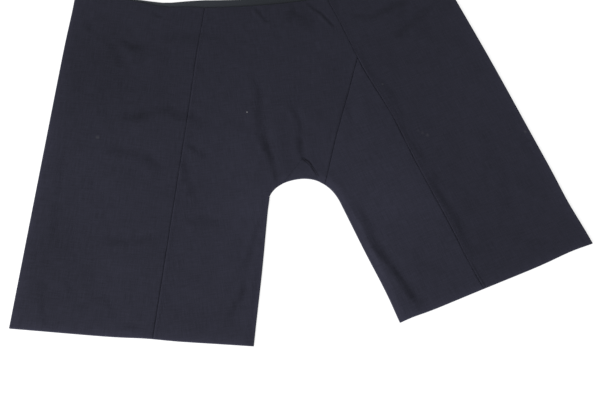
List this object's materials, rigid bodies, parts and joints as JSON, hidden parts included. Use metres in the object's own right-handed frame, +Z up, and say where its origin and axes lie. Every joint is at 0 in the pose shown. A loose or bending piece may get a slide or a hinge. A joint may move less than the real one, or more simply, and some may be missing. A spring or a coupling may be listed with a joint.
{
  "type": "wide cropped pants",
  "caption": "Wide cropped wool trousers laid flat: wrapped side panels, inner panels with a slanting seam, folded crotch gusset, open waist and wide hems.",
  "frame": {"origin": "middle of the garment's outline, on the surface it lies on", "axes": "+X across the garment to the right as seen from above, +Y from the hems to the waist, +Z up from the surface"},
  "size_m": [0.9815, 0.6818, 0.0061],
  "materials": {
    "wool": "soft dark navy wool in a fine plain weave, matt with a faint nap",
    "facing": "thin greenish grey lining twill, slightly smoother than the wool"
  },
  "bodies": {
    "root": {"side_panel_left": "wool", "side_panel_right": "wool", "front_large_panel": "wool", "front_small_panel": "wool", "back_large_panel": "wool", "back_small_panel": "wool", "crotch_gusset": "wool", "back_waist_facing": "facing"}
  },
  "joints": []
}
